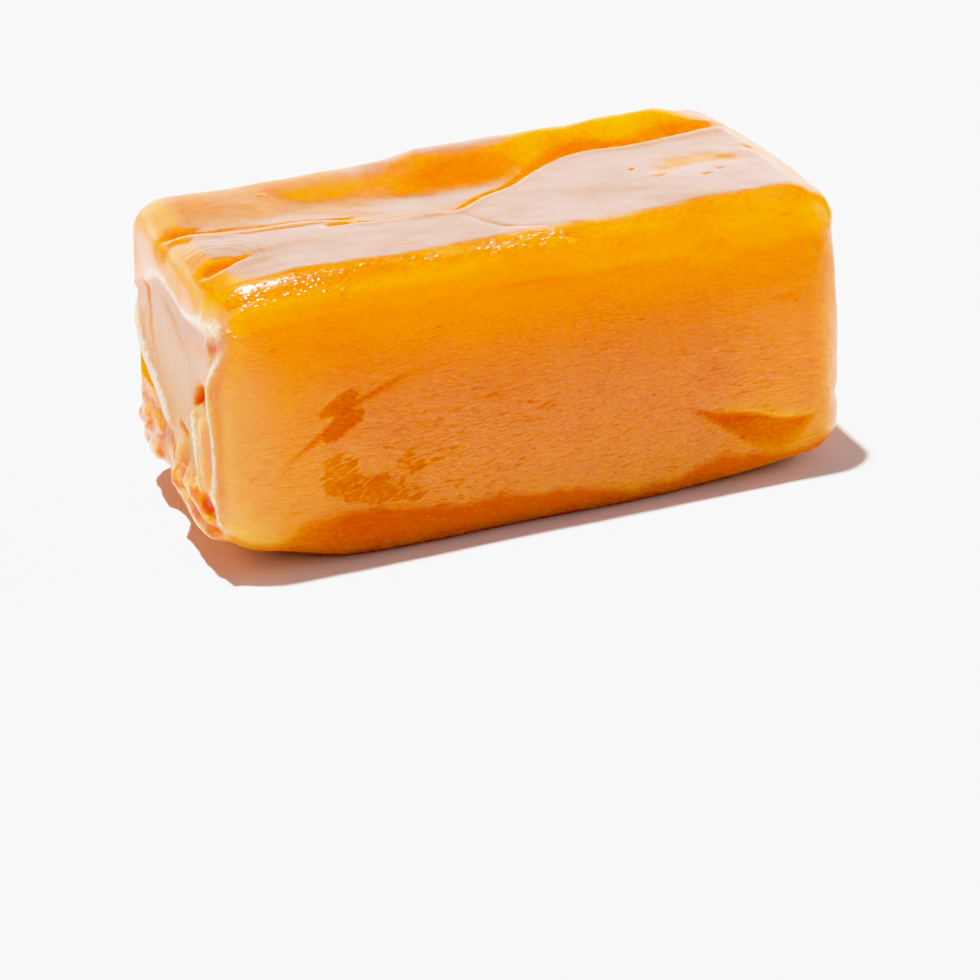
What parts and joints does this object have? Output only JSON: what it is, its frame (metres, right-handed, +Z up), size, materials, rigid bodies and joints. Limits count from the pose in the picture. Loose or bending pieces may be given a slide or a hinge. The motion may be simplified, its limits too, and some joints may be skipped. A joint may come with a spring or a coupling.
{
  "type": "butter caramel",
  "caption": "Unwrapped block of soft butter caramel with rounded edges, a fold across its top and knife-cut ends, one of them torn and crumpled at its foot.",
  "frame": {"origin": "centre of the bounding box's base, on the surface the caramel rests on", "axes": "+X along the block from its torn left end to its right end, +Y from the front to the back, +Z up"},
  "size_m": [0.0364, 0.0178, 0.0165],
  "materials": {
    "caramel": "waxy, softly glossy, translucent caramel"
  },
  "bodies": {
    "root": {"caramel": "caramel"}
  },
  "joints": []
}
